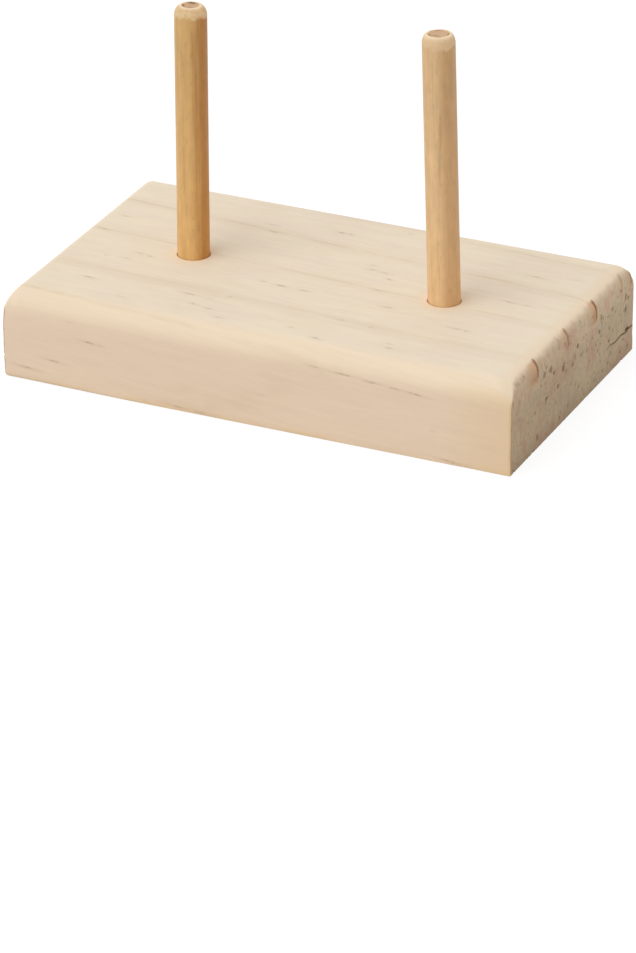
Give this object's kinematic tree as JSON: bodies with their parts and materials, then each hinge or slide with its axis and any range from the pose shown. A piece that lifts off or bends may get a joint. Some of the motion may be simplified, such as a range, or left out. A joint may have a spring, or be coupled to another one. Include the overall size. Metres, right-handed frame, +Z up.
{
  "type": "thread stand",
  "caption": "Wooden thread stand: a routed pine block carrying upright round-tipped dowel pins that hold reels of thread.",
  "frame": {"origin": "centre of the block's flat underside", "axes": "+Z up along the left pin; +X along the block's length, from the left pin to the right pin; +Y to the back, away from the routed edge that faces the viewer"},
  "size_m": [0.1, 0.0584, 0.0693],
  "materials": {
    "planed_pine": "planed and lightly sanded, unfinished pine with end grain at both ends",
    "amber_dowel": "smooth dowel rod of a warm amber tone, tip sanded round by hand",
    "pale_dowel": "smooth dowel rod of a paler tone, tip sanded round by hand"
  },
  "bodies": {
    "root": {"base_block": "planed_pine", "left_pin": "amber_dowel", "right_pin": "pale_dowel"}
  },
  "joints": []
}
